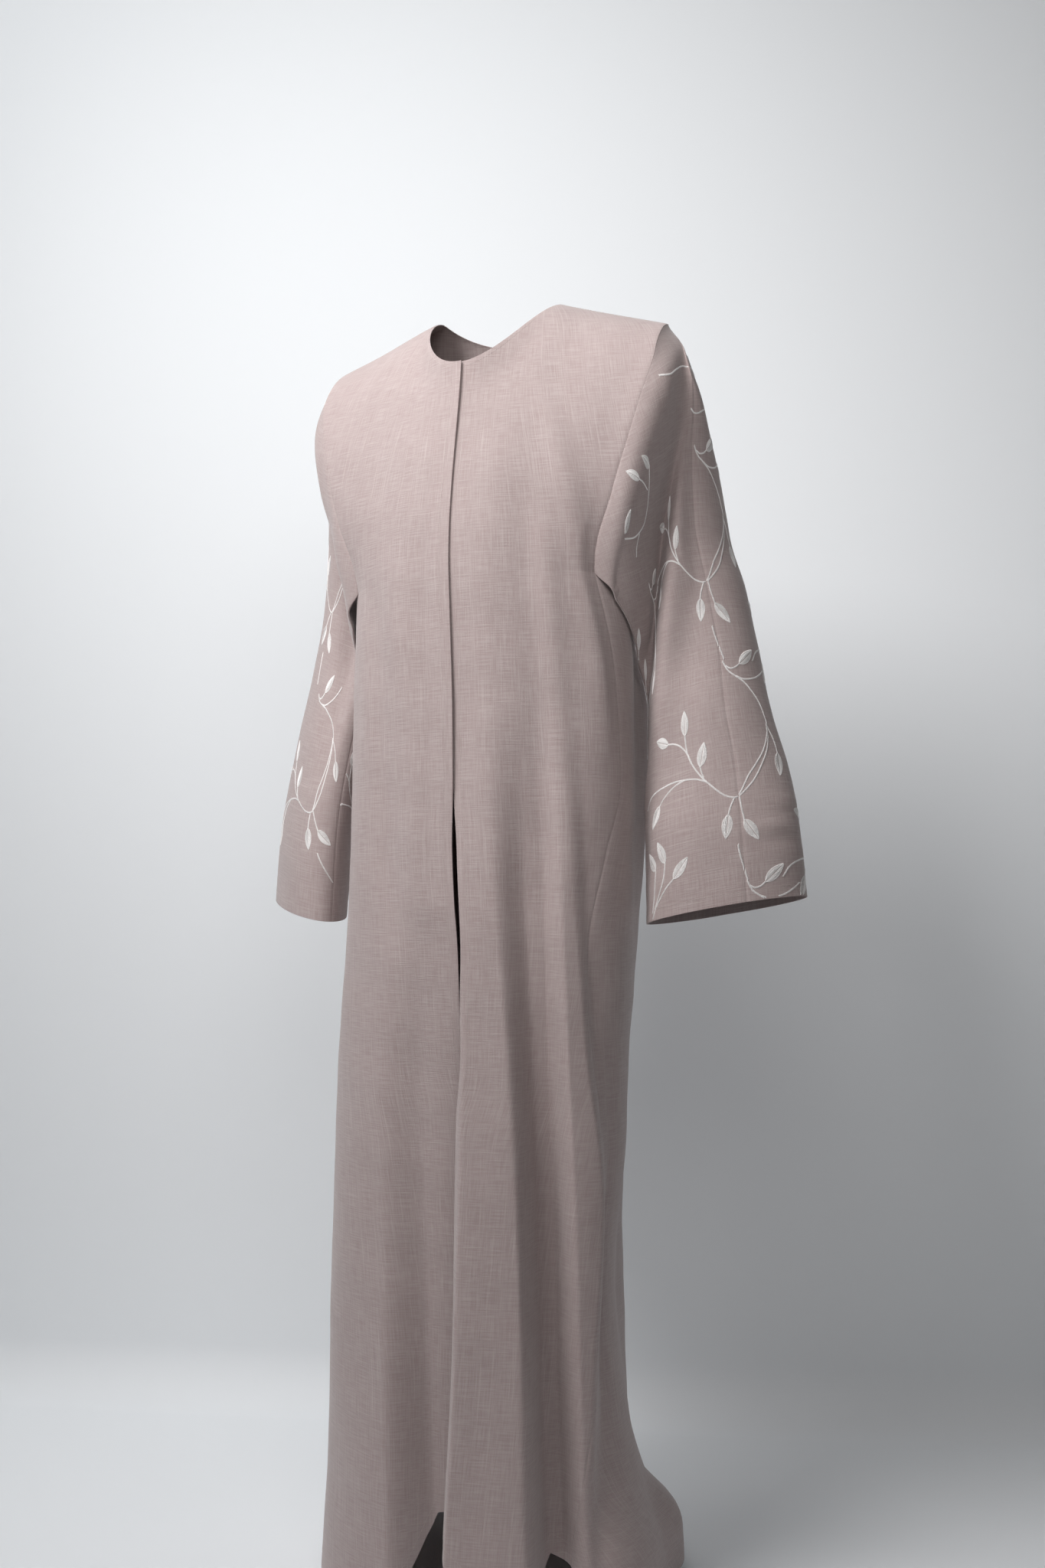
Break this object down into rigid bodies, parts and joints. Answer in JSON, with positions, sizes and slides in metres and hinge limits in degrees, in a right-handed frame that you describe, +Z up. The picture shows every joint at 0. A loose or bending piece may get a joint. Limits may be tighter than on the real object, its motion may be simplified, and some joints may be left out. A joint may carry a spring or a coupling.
{
  "type": "abaya cloak",
  "caption": "Long open-fronted abaya cloak with wide sleeves, worn: a collarless cloth wall hanging round a hollow body, its back trailing to the floor.",
  "frame": {"origin": "on the shoulder line, midway between the shoulders, level with the neck ends of the shoulder seams", "axes": "+Z up, the wearer faces -Y, and +X is the wearer's left"},
  "size_m": [0.6962, 0.484, 1.4576],
  "materials": {
    "front_left_cloth": "matte slub weave",
    "front_right_cloth": "matte slub weave",
    "back_cloth": "matte slub weave",
    "sleeve_front_left_cloth": "matte slub weave",
    "sleeve_back_left_cloth": "matte slub weave",
    "sleeve_front_right_cloth": "matte slub weave",
    "sleeve_back_right_cloth": "matte slub weave"
  },
  "bodies": {
    "root": {"front_left": "front_left_cloth", "front_right": "front_right_cloth", "back": "back_cloth", "sleeve_front_left": "sleeve_front_left_cloth", "sleeve_back_left": "sleeve_back_left_cloth", "sleeve_front_right": "sleeve_front_right_cloth", "sleeve_back_right": "sleeve_back_right_cloth"}
  },
  "joints": []
}
